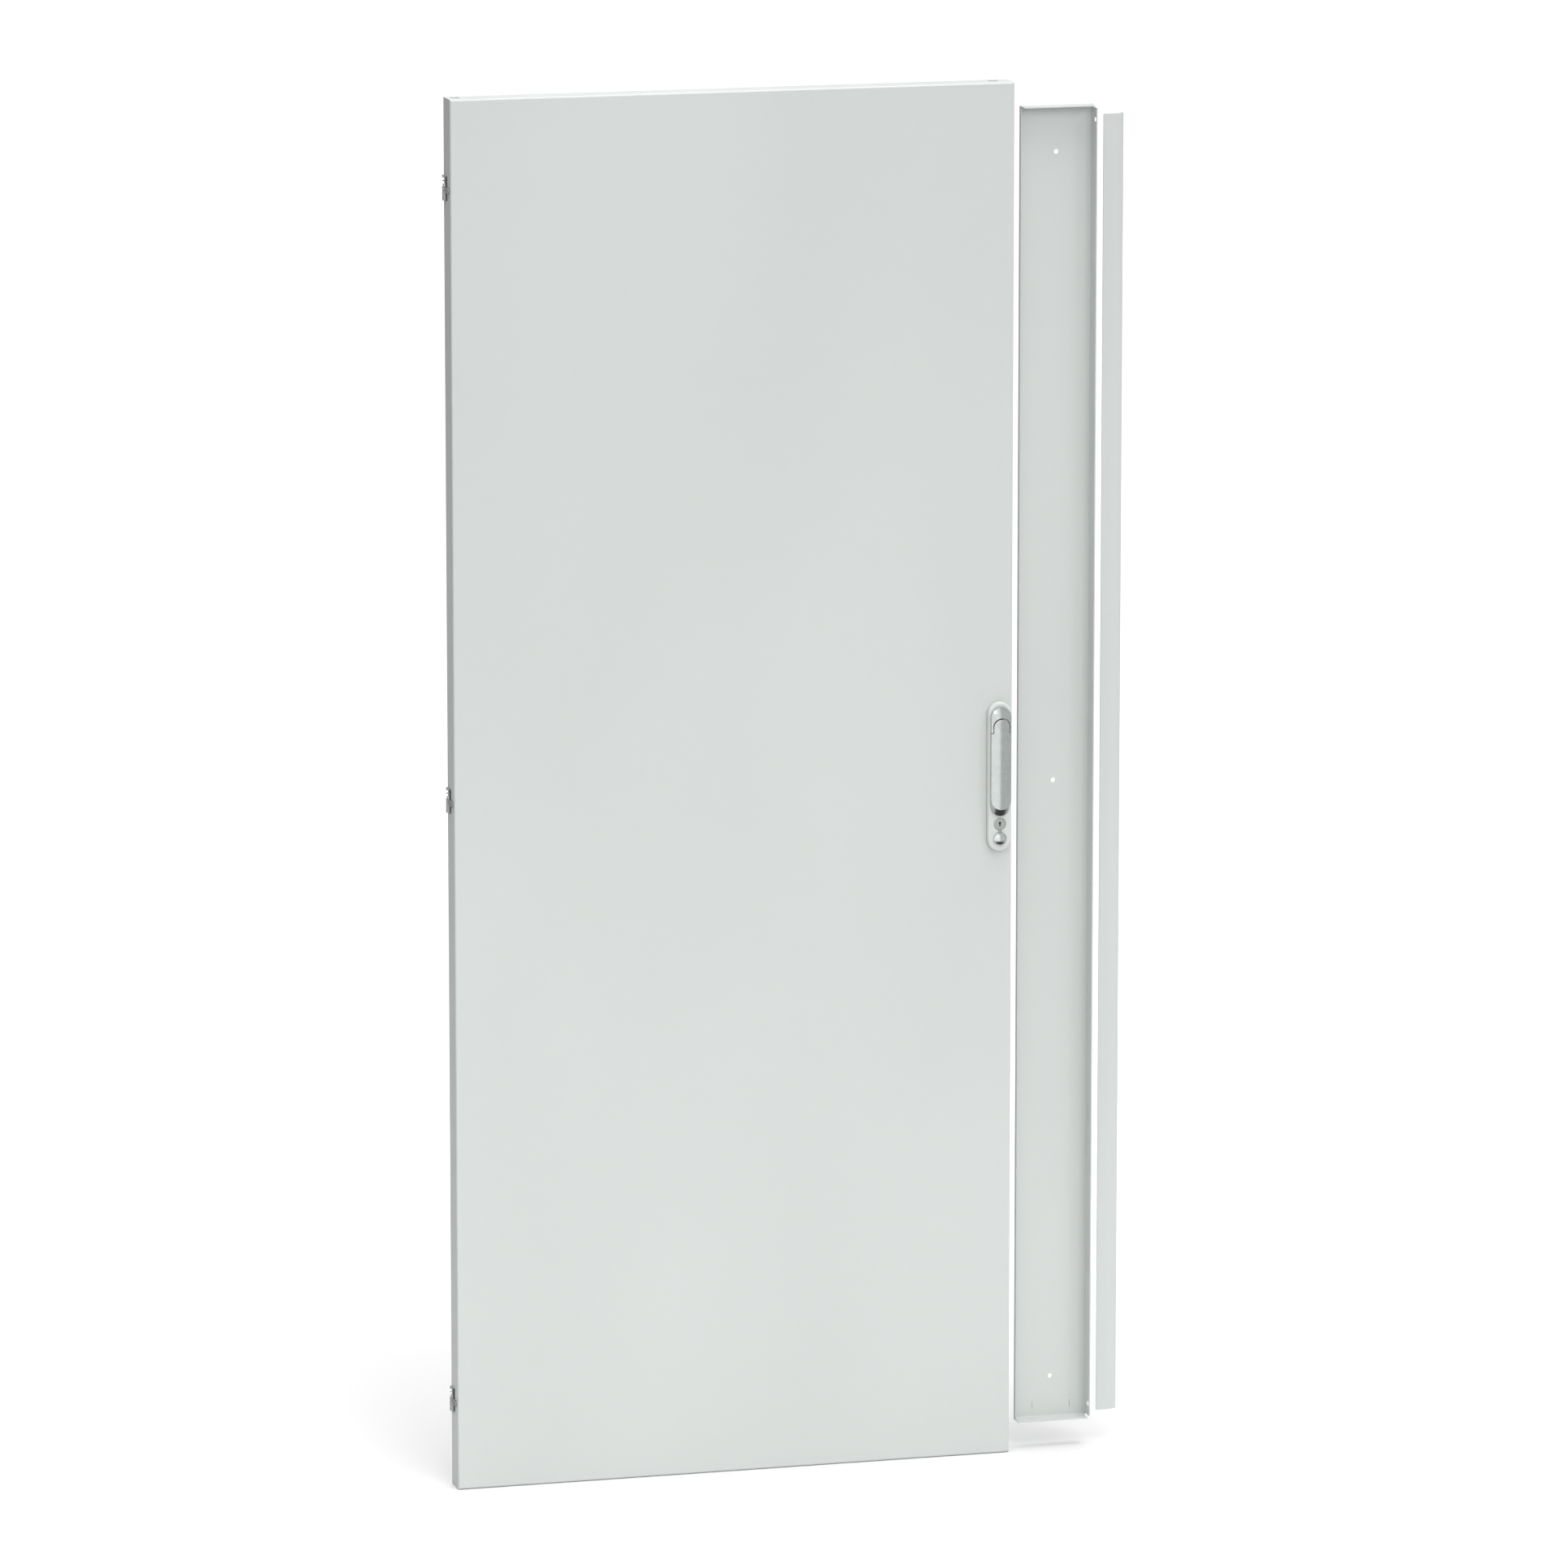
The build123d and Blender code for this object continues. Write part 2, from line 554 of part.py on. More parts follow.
def pinion_outline():
    """The pinion's toothed outline; one tooth points along +X."""
    root_r, tip_r = PITCH_R - 1.4, PITCH_R + 1.2
    base_r = PITCH_R * math.cos(PRESSURE)
    steps = 5
    radii = [root_r] + [base_r + (tip_r - base_r) * i / steps for i in range(steps + 1)]
    points = []
    for tooth in range(TEETH):
        middle = tooth * 2 * math.pi / TEETH
        flank = [(r, tooth_half_angle(max(r, base_r))) for r in radii]
        for r, half in flank:
            points.append((r * math.cos(middle - half), r * math.sin(middle - half)))
        for r, half in reversed(flank):
            points.append((r * math.cos(middle + half), r * math.sin(middle + half)))
    return make_face(Polyline(*points, close=True))


def pinion():
    """The pinion on the spindle, with a journal on each side."""
    gear = prism_y(Pos(SPINDLE_X, SPINDLE_Z) * pinion_outline(), in_y(GEAR_D0), in_y(GEAR_D1))
    gear += rod_y(SPINDLE_X, in_y(SHEET + 0.2), in_y(GEAR_D0), SPINDLE_Z, 6.5)
    gear += rod_y(SPINDLE_X, in_y(GEAR_D1), in_y(BOX_DEPTH + 0.2), SPINDLE_Z, 6.5)
    x, z, half = SPINDLE_X, SPINDLE_Z, SQUARE / 2 + PIN_FIT
    return gear - block(x - half, x + half, in_y(0), in_y(40), z - half, z + half)


def rack_outline():
    """The upper rack in (x, z) from the spindle: teeth face the pinion, a gap lies level with it."""
    pitch = math.pi * MODULE
    tip_x, root_x = PITCH_R - 0.9, PITCH_R + 1.4
    lean = math.tan(PRESSURE)
    half = pitch / 4 - BACKLASH / 2
    points = [(ROD_X1, LAP_Z1), (ROD_X1, -10.5), (root_x, -10.5)]
    for i in range(-2, 5):
        middle = (i + 0.5) * pitch
        at_root = half + (root_x - PITCH_R) * lean
        at_tip = half - (PITCH_R - tip_x) * lean
        points += [(root_x, middle - at_root), (tip_x, middle - at_tip)]
        points += [(tip_x, middle + at_tip), (root_x, middle + at_root)]
    points += [(root_x, 27), (ROD_X0, 27), (ROD_X0, LAP_Z1)]
    return make_face(Polyline(*points, close=True))


def half_turn(shape):
    """The lower half of the drive is the upper half turned over about the spindle."""
    return Pos(SPINDLE_X, 0, SPINDLE_Z) * Rot(0, 180, 0) * Pos(-SPINDLE_X, 0, -SPINDLE_Z) * shape


def rivet_holes(radius):
    """The two rivet positions where a rod laps its rack."""
    x = SPINDLE_X + (ROD_X0 + ROD_X1) / 2
    holes = []
    for z in (LAP_Z0 + 6, LAP_Z1 - 6):
        holes.append(rod_y(x, in_y(GEAR_D0 - 1), in_y(GEAR_D1 + ROD_T + 1), SPINDLE_Z + z, radius))
    return holes


def rack():
    """A rack and the flat shank that its rod is riveted to."""
    body = prism_y(Pos(SPINDLE_X, SPINDLE_Z) * rack_outline(), in_y(GEAR_D0), in_y(GEAR_D1))
    return body - rivet_holes(1.6)


def rod_rivets():
    """Two rivets through a rack and its rod."""
    x = SPINDLE_X + (ROD_X0 + ROD_X1) / 2
    rivets = []
    for z in (LAP_Z0 + 6, LAP_Z1 - 6):
        rivet = rod_y(x, in_y(GEAR_D0 - 0.9), in_y(GEAR_D1 + ROD_T + 0.9), SPINDLE_Z + z, 1.6)
        for y0 in (in_y(GEAR_D0 - 0.9), in_y(GEAR_D1 + ROD_T)):
            rivet += rod_y(x, y0, y0 + 0.9, SPINDLE_Z + z, 2.6)
        rivets.append(rivet)
    return Compound(rivets)


def locking_rod(end):
    """A flat rod ending in a clevis for its roller; end is the distance from spindle to roller centre."""
    x0, x1 = SPINDLE_X + ROD_X0, SPINDLE_X + ROD_X1
    middle = (x0 + x1) / 2
    depth = GEAR_D1 + ROD_T / 2
    tip = SPINDLE_Z + end
    bar = block(x0, x1, in_y(GEAR_D1), in_y(GEAR_D1 + ROD_T), SPINDLE_Z + LAP_Z0, tip - 9)
    clevis = block(x0, x1, in_y(depth - 4.5), in_y(depth + 4.5), tip - 14, tip + 4)
    clevis = fillet(clevis.edges().filter_by(Axis.X), 2)
    slot = block(middle - 2.2, middle + 2.2, in_y(depth - 9), in_y(depth + 9), tip - 8, tip + 9)
    hole = rod_x(x0 - 1, x1 + 1, in_y(depth), tip, 2.0)
    return bar + clevis - slot - hole - rivet_holes(1.6)


def roller_pin(end):
    """The pin through the clevis."""
    depth = GEAR_D1 + ROD_T / 2
    return rod_x(SPINDLE_X + ROD_X0, SPINDLE_X + ROD_X1, in_y(depth), SPINDLE_Z + end, 2.0)


def roller(end):
    """The plastic roller that rides on the cabinet's catch."""
    middle = SPINDLE_X + (ROD_X0 + ROD_X1) / 2
    depth = GEAR_D1 + ROD_T / 2
    wheel = rod_x(middle - 2, middle + 2, in_y(depth), SPINDLE_Z + end, ROLLER_R)
    wheel = fillet(wheel.edges(), 0.6)
    return wheel - rod_x(middle - 3, middle + 3, in_y(depth), SPINDLE_Z + end, 2.0 + PIN_FIT)


def rod_slots():
    """Openings in the gearbox's end walls for the two racks."""
    x0, x1 = SPINDLE_X + ROD_X0 - 0.4, SPINDLE_X + ROD_X1 + 0.4
    z0, z1 = SPINDLE_Z + BOX_HALF_Z - 3, SPINDLE_Z + BOX_HALF_Z + 1
    slot = block(x0, x1, in_y(GEAR_D0 - 0.4), in_y(GEAR_D1 + 0.4), z0, z1)
    return [slot, half_turn(slot)]


def gearbox_housing():
    """The tray that carries the pinion and guides both racks, with a fixing foot at each end."""
    x, z = SPINDLE_X, SPINDLE_Z
    outer_x, outer_z = BOX_HALF_X, BOX_HALF_Z
    outer = block(x - outer_x, x + outer_x, INNER_Y, in_y(BOX_DEPTH - 2), z - outer_z, z + outer_z)
    inner_x, inner_z = outer_x - BOX_WALL, outer_z - BOX_WALL
    outer -= block(x - inner_x, x + inner_x, INNER_Y + BOX_WALL, in_y(BOX_DEPTH), z - inner_z, z + inner_z)
    foot = block(x - 10, x + 4, INNER_Y, INNER_Y + 3, z + BOX_HALF_Z - 1, z + BOX_HALF_Z + 11)
    foot -= rod_y(x - 6, INNER_Y - 1, INNER_Y + 4, z + 33, 2.1)
    lower = half_turn(block(x - 10, x + 6, INNER_Y, INNER_Y + 3, z + BOX_HALF_Z - 1, z + BOX_HALF_Z + 11))
    lower -= rod_y(x, INNER_Y - 1, INNER_Y + 4, z - 33, 2.1)
    housing = outer + foot + lower
    for dz in (-COVER_SCREW_Z, COVER_SCREW_Z):
        housing += rod_y(x, INNER_Y + 1, in_y(BOX_DEPTH - 2), z + dz, 3.0)
        housing -= rod_y(x, in_y(8), in_y(BOX_DEPTH), z + dz, 1.25)
    housing -= rod_y(x, INNER_Y - 1, INNER_Y + 3, z, 6.5 + PIN_FIT)
    return housing - rod_slots()


def gearbox_cover():
    """The plate that closes the gearbox and carries the pinion's rear journal."""
    x, z = SPINDLE_X, SPINDLE_Z
    outline = Pos(x, z) * RectangleRounded(2 * BOX_HALF_X, 2 * BOX_HALF_Z, 2)
    cover = prism_y(outline, in_y(BOX_DEPTH - 2), in_y(BOX_DEPTH))
    for dz in (-COVER_SCREW_Z, COVER_SCREW_Z):
        cover -= rod_y(x, in_y(BOX_DEPTH - 3), in_y(BOX_DEPTH + 1), z + dz, 1.6)
    return cover - rod_y(x, in_y(BOX_DEPTH - 3), in_y(BOX_DEPTH + 1), z, 6.5 + PIN_FIT)


def gearbox_screws():
    """Two screws that hold the cover on the housing's posts."""
    tip, seat = in_y(BOX_DEPTH - 10), in_y(BOX_DEPTH)
    centres = (SPINDLE_Z - COVER_SCREW_Z, SPINDLE_Z + COVER_SCREW_Z)
    return Compound([screw_y(SPINDLE_X, z, tip, seat, 1.2, 2.8, 1.6) for z in centres])


def gearbox_nut():
    """The nut on the weld stud at the housing's upper foot."""
    x, z = SPINDLE_X - 6, SPINDLE_Z + 33
    return hexagon_y(x, INNER_Y + 3, INNER_Y + 6.2, z, 7) - rod_y(x, INNER_Y, INNER_Y + 8, z, 2.0)


def spindle_clip():
    """The push-on washer that keeps the spindle in the gearbox."""
    half = SQUARE / 2 + 0.01
    x, z = SPINDLE_X, SPINDLE_Z
    clip = rod_y(x, in_y(BOX_DEPTH + 0.3), in_y(BOX_DEPTH + 1.2), z, 7.5)
    return clip - block(x - half, x + half, in_y(BOX_DEPTH), in_y(BOX_DEPTH + 2), z - half, z + half)


def rod_guide(side, z):
    """A plastic guide block on the leaf's inner face; side is +1 for the upper rod and -1 for the lower."""
    low, high = SPINDLE_X + side * 2.5, SPINDLE_X + side * 16.5
    x0, x1 = min(low, high), max(low, high)
    guide = block(x0, x1, INNER_Y, in_y(GEAR_D1 + ROD_T + 3), z - 7, z + 7)
    guide = chamfer(guide.faces().sort_by(Axis.Y)[-1].edges(), 1.2)
    low, high = SPINDLE_X + side * (ROD_X0 - 0.3), SPINDLE_X + side * (ROD_X1 + 0.3)
    x0, x1 = min(low, high), max(low, high)
    return guide - block(x0, x1, in_y(GEAR_D1 - 0.3), in_y(GEAR_D1 + ROD_T + 0.3), z - 8, z + 8)


def rod_guides():
    """Two guides for each locking rod."""
    return Compound([rod_guide(1 if z > 0 else -1, z) for z in GUIDE_Z])


def earth_nut():
    """The flanged nut on the earthing stud."""
    nut = hexagon_y(EARTH_X, INNER_Y + 1.5, INNER_Y + 6.5, EARTH_Z, 10)
    nut += rod_y(EARTH_X, INNER_Y, INNER_Y + 1.5, EARTH_Z, 7)
    return nut - rod_y(EARTH_X, INNER_Y - 1, INNER_Y + 8, EARTH_Z, 3.0)


# ---- side panel and cover strip ----
def side_panel():
    """The dished panel: a web on the cabinet, three deep flanges and a shallow lip on the door's side."""
    x0, x1 = PANEL_X0, PANEL_X0 + PANEL_W
    z0, z1 = PANEL_Z - PANEL_H / 2, PANEL_Z + PANEL_H / 2
    outer = block(x0, x1, -PANEL_D, 0, z0, z1)
    outer = fillet(outer.faces().sort_by(Axis.Y)[-1].edges(), BEND_R)
    inner = block(x0 + SHEET, x1 - SHEET, -PANEL_D - 1, -SHEET, z0 + SHEET, z1 - SHEET)
    inner = fillet(inner.faces().sort_by(Axis.Y)[-1].edges(), BEND_R - SHEET)
    panel = outer - inner
    panel -= block(x0 - 1, x0 + SHEET + 0.1, -PANEL_D - 1, -PANEL_LIP, z0 + SHEET, z1 - SHEET)
    for low, high in ((z0 - 1, z0 + 3.5), (z1 - 3.5, z1 + 1)):
        panel -= block(x1 - 3.5, x1 + 1, -PANEL_D - 1, -6, low, high)
    for z in PANEL_HOLE_Z:
        panel -= rod_y(PANEL_HOLE_X, -SHEET - 1, 1, z, PANEL_HOLE_R)
    for z in (z0 + 20, z1 - 20):
        panel -= block(x1 - SHEET - 1, x1 + 1, -PANEL_D + 2, -PANEL_D + 12, z - 3, z + 3)
        panel -= rod_x(x0 - 1, x0 + SHEET + 1, -PANEL_LIP + 3.5, z, 1.6)
    for x in (x0 + 27, x0 + 82):
        panel -= block(x - 0.22, x + 0.22, -SHEET - 1, 1, z0 + 13, z0 + 23)
    return panel


def strip_section():
    """The strip's section in (x, y) from its free edge: flat, then easing back into a short leg."""
    front, back = -STRIP_D, -STRIP_D + SHEET
    turn = (STRIP_W - 1.2, front + STRIP_DROP)
    inner_turn = (STRIP_W - SHEET - 0.6, back + STRIP_DROP)
    outline = [
        Line((0, front), (STRIP_FLAT, front)),
        TangentArc((STRIP_FLAT, front), turn, tangent=(1, 0)),
        Line(turn, (STRIP_W, turn[1] + 1.4)),
        Line((STRIP_W, turn[1] + 1.4), (STRIP_W, 0)),
        Line((STRIP_W, 0), (STRIP_W - SHEET, 0)),
        Line((STRIP_W - SHEET, 0), (STRIP_W - SHEET, inner_turn[1] + 0.8)),
        Line((STRIP_W - SHEET, inner_turn[1] + 0.8), inner_turn),
        TangentArc((STRIP_FLAT, back), inner_turn, tangent=(1, 0)),
        Line((STRIP_FLAT, back), (0, back)),
        Line((0, back), (0, front)),
    ]
    return make_face(outline)


def cover_strip():
    """The narrow trim strip, run the height of the opening."""
    z0, z1 = GROUP_Z - STRIP_H / 2, GROUP_Z + STRIP_H / 2
    return prism_z(Pos(STRIP_X0, 0) * strip_section(), z0, z1)


def strip_brackets():
    """Three Z brackets behind the strip, each with a screw hole in its foot."""
    x0, x1, x2 = STRIP_X0 + 4.5, STRIP_X0 + STRIP_FLAT, STRIP_X0 + 26.0
    back = -STRIP_D + SHEET
    brackets = []
    for z in BRACKET_Z:
        bracket = block(x0, x1, back, back + SHEET, z - 15, z + 15)
        bracket += block(x1 - SHEET, x1, back, 0, z - 15, z + 15)
        bracket += block(x1 - SHEET, x2, -SHEET, 0, z - 15, z + 15)
        bracket -= rod_y(STRIP_X0 + BRACKET_HOLE_X, -SHEET - 1, 1, z, PLATE_HOLE_R)
        brackets.append(bracket)
    return Compound(brackets)


def write(name, shape):
    """Save one named piece."""
    export_step(shape, f"parts/{name}.step")


def main():
    os.makedirs("parts", exist_ok=True)
    for level, zc in HINGE_Z.items():
        write(f"frame_plate_{level}", frame_plate(zc))
        write(f"hinge_block_{level}", hinge_block(zc))
        write(f"hinge_pin_{level}", hinge_pin(zc))
        write(f"pin_tab_{level}", pin_tab(zc))
        write(f"hinge_spring_{level}", hinge_spring(zc))
    write("hinge_rivets", hinge_rivets())
    write("door_skin", door_skin())
    write("door_gasket", door_gasket())
    write("hinge_side_stiffener", upright_stiffener(STIFFENER_X[0]))
    write("lock_side_stiffener", upright_stiffener(STIFFENER_X[1]))
    write("cross_stiffeners", cross_stiffeners())
    write("earth_nut", earth_nut())
    write("handle_base", handle_base())
    write("base_seal", base_seal())
    write("base_screws", base_screws())
    write("spindle_head", spindle_head())
    write("handle_lever", handle_lever())
    write("lift_pin", lift_pin())
    write("square_spindle", square_spindle())
    write("spindle_clip", spindle_clip())
    write("lock_body", lock_body())
    write("lock_nut", lock_nut())
    write("lock_plug", lock_plug())
    write("lock_cam", lock_cam())
    write("cam_screw", cam_screw())
    write("dust_cap", dust_cap())
    write("cap_pivot", cap_pivot())
    write("gearbox_housing", gearbox_housing())
    write("gearbox_cover", gearbox_cover())
    write("gearbox_screws", gearbox_screws())
    write("gearbox_nut", gearbox_nut())
    write("pinion", pinion())
    write("upper_rack", rack())
    write("lower_rack", half_turn(rack()))
    write("upper_rod_rivets", rod_rivets())
    write("lower_rod_rivets", half_turn(rod_rivets()))
    upper_end = DOOR_Z - ROD_END_Z - SPINDLE_Z
    lower_end = DOOR_Z - ROD_END_Z + SPINDLE_Z
    write("upper_rod", locking_rod(upper_end))
    write("lower_rod", half_turn(locking_rod(lower_end)))
    write("upper_roller_pin", roller_pin(upper_end))
    write("lower_roller_pin", half_turn(roller_pin(lower_end)))
    write("upper_roller", roller(upper_end))
    write("lower_roller", half_turn(roller(lower_end)))
    write("rod_guides", rod_guides())
    write("side_panel", side_panel())
    write("cover_strip", cover_strip())
    write("strip_brackets", strip_brackets())


main()
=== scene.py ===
import json
import math

import bmesh
import bpy
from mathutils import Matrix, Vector, noise


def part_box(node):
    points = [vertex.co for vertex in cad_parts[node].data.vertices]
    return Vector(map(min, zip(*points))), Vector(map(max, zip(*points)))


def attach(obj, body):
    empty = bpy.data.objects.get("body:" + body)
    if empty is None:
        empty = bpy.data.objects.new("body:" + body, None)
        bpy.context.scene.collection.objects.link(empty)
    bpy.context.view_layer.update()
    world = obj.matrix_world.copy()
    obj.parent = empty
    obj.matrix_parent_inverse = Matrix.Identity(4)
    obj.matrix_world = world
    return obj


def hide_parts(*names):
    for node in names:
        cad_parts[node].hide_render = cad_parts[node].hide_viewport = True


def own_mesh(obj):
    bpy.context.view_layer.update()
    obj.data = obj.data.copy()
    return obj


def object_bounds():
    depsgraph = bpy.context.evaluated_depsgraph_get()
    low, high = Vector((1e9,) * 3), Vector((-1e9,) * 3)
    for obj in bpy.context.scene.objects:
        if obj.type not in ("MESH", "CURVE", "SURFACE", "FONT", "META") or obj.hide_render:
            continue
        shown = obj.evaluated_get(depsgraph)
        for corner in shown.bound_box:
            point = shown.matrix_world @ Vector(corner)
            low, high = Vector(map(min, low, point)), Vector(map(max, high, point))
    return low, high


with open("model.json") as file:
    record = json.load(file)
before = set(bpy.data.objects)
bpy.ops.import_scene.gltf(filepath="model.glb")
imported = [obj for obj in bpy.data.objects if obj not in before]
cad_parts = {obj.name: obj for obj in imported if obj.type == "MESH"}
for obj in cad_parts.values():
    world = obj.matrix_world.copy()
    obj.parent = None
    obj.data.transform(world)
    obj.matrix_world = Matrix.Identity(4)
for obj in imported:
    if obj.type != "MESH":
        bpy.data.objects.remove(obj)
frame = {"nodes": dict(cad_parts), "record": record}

cad_low, cad_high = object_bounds()
scene = bpy.context.scene
MM = 0.001


# ---- materials ----
def linear(red, green, blue):
    """A colour given in display values 0-255, as the linear values that the nodes take."""
    channels = []
    for value in (red, green, blue):
        value /= 255
        channels.append(value / 12.92 if value <= 0.04045 else ((value + 0.055) / 1.055) ** 2.4)
    return (*channels, 1.0)


class Finish:
    """A procedural material in the making, placed by object coordinates in metres."""

    def __init__(self, name):
        self.material = bpy.data.materials.new(name)
        self.material.use_nodes = True
        self.tree = self.material.node_tree
        self.shader = self.tree.nodes["Principled BSDF"]
        self.place = self.add("ShaderNodeTexCoord").outputs["Object"]
        self.normal = None

    def add(self, kind, inputs=None, **settings):
        node = self.tree.nodes.new(kind)
        for key, value in settings.items():
            setattr(node, key, value)
        self.fill(node, inputs or {})
        return node

    def fill(self, node, inputs):
        for key, value in inputs.items():
            if isinstance(value, bpy.types.NodeSocket):
                self.tree.links.new(value, node.inputs[key])
            else:
                node.inputs[key].default_value = value

    def noise(self, size, stretch=(1, 1, 1), detail=2.0):
        """Noise from 0 to 1 whose features are about size metres across."""
        place = self.add("ShaderNodeMapping", {"Vector": self.place, "Scale": stretch}).outputs[0]
        inputs = {"Vector": place, "Scale": 1 / size, "Detail": detail}
        return self.add("ShaderNodeTexNoise", inputs).outputs[0]

    def cells(self, size, feature="F1"):
        """Distance inside cells of about size metres."""
        inputs = {"Vector": self.place, "Scale": 1 / size}
        return self.add("ShaderNodeTexVoronoi", inputs, feature=feature).outputs["Distance"]

    def spread(self, value, low, high, low_to, high_to):
        inputs = {"Value": value, "From Min": low, "From Max": high, "To Min": low_to, "To Max": high_to}
        return self.add("ShaderNodeMapRange", inputs).outputs[0]

    def mix(self, share, first, second):
        return self.add("ShaderNodeMixRGB", {"Fac": share, "Color1": first, "Color2": second}).outputs[0]

    def round_edges(self, radius):
        """Softens sharp edges in the shading by the radius that the coating or casting gives them."""
        self.normal = self.add("ShaderNodeBevel", {"Radius": radius}, samples=4).outputs[0]

    def bump(self, height, distance, strength=1.0):
        inputs = {"Height": height, "Distance": distance, "Strength": strength}
        if self.normal is not None:
            inputs["Normal"] = self.normal
        self.normal = self.add("ShaderNodeBump", inputs).outputs[0]

    def done(self, **inputs):
        named = {key.replace("_", " "): value for key, value in inputs.items()}
        if self.normal is not None:
            named["Normal"] = self.normal
        self.fill(self.shader, named)
        return self.material


def powder_coat(name, colour, edge=0.7 * MM):
    """Satin powder coat: orange peel, a finer grain in it, and a coat that varies a little over the sheet."""
    coat = Finish(name)
    dark = tuple(0.955 * c for c in colour[:3]) + (1.0,)
    light = tuple(min(1.0, 1.02 * c) for c in colour[:3]) + (1.0,)
    drift = coat.spread(coat.noise(0.35, (1, 1, 0.45), 1.0), 0.3, 0.7, 0.35, 1.0)
    broad = coat.mix(drift, dark, light)
    speck = coat.spread(coat.noise(0.9 * MM, detail=1.0), 0.24, 0.34, 0.25, 0.0)
    tint = coat.mix(speck, broad, tuple(0.86 * c for c in colour[:3]) + (1.0,))
    rough = coat.spread(coat.noise(0.05), 0.3, 0.7, 0.40, 0.50)
    coat.round_edges(edge)
    coat.bump(coat.noise(2.4 * MM, detail=1.5), 0.05 * MM, 0.5)
    coat.bump(coat.noise(0.45 * MM, detail=1.0), 0.012 * MM, 0.4)
    return coat.done(Base_Color=tint, Roughness=rough, Specular_IOR_Level=0.45)


def cast_metal(name, colour, roughness, grain, depth, edge=0.4 * MM, metallic=1.0):
    """A casting under plating or passivation: fine grain, slow stains and soft edges."""
    cast = Finish(name)
    stain = cast.spread(cast.noise(9 * MM, detail=3.0), 0.3, 0.7, 0.0, 1.0)
    tint = cast.mix(stain, tuple(0.9 * c for c in colour[:3]) + (1.0,), colour)
    rough = cast.spread(cast.noise(2.5 * MM), 0.3, 0.7, roughness - 0.04, roughness + 0.05)
    cast.round_edges(edge)
    cast.bump(cast.noise(grain, detail=3.0), depth, 0.6)
    return cast.done(Base_Color=tint, Roughness=rough, Metallic=metallic)


def brushed(name, colour, roughness, stretch, line=0.12 * MM):
    """Drawn or turned metal: fine parallel lines, which also vary its shine."""
    steel = Finish(name)
    lines = steel.noise(line * 8, stretch, 2.0)
    tint = steel.mix(lines, tuple(0.86 * c for c in colour[:3]) + (1.0,), colour)
    rough = steel.spread(lines, 0.3, 0.7, roughness - 0.05, roughness + 0.06)
    steel.round_edges(0.25 * MM)
    steel.bump(lines, 0.01 * MM, 0.5)
    return steel.done(Base_Color=tint, Roughness=rough, Metallic=1.0)


def zinc_coat(name, colour):
    """Galvanised sheet: frosted crystal patches over faint rolling lines."""
    zinc = Finish(name)
    inputs = {"Vector": zinc.place, "Scale": 1 / (7 * MM)}
    patch = zinc.add("ShaderNodeTexVoronoi", inputs).outputs["Color"]
    shade = zinc.spread(zinc.add("ShaderNodeSeparateColor", {"Color": patch}).outputs[0], 0, 1, 0, 1)
    tint = zinc.mix(shade, tuple(0.8 * c for c in colour[:3]) + (1.0,), colour)
    rough = zinc.spread(shade, 0, 1, 0.34, 0.52)
    zinc.round_edges(0.3 * MM)
    zinc.bump(zinc.noise(1.2 * MM, (1, 1, 0.1)), 0.01 * MM, 0.5)
    return zinc.done(Base_Color=tint, Roughness=rough, Metallic=0.9)


def moulded(name, colour, roughness, grain, depth):
    """Moulded plastic or rubber with a fine sparked texture."""
    body = Finish(name)
    tint = body.mix(body.noise(4 * MM), colour, tuple(min(1.0, 1.5 * c) for c in colour[:3]) + (1.0,))
    rough = body.spread(body.noise(1.5 * MM), 0.3, 0.7, roughness - 0.06, roughness + 0.06)
    body.round_edges(0.3 * MM)
    body.bump(body.noise(grain, detail=2.0), depth, 0.7)
    return body.done(Base_Color=tint, Roughness=rough, Specular_IOR_Level=0.4)


def foam_bead(name, colour):
    """Foamed sealing bead: a skin with small open cells."""
    foam = Finish(name)
    cell = foam.cells(1.1 * MM)
    # painted shade: the colour is darkened towards the middle of each cell, where the bump sinks a pit, as
    # the shade inside the open cells
    tint = foam.mix(foam.spread(cell, 0.1, 0.6, 0, 1), tuple(0.45 * c for c in colour[:3]) + (1.0,), colour)
    foam.bump(cell, 0.25 * MM, 0.8)
    foam.bump(foam.noise(6 * MM), 0.3 * MM, 0.4)
    return foam.done(Base_Color=tint, Roughness=foam.spread(cell, 0, 0.7, 0.95, 0.7))


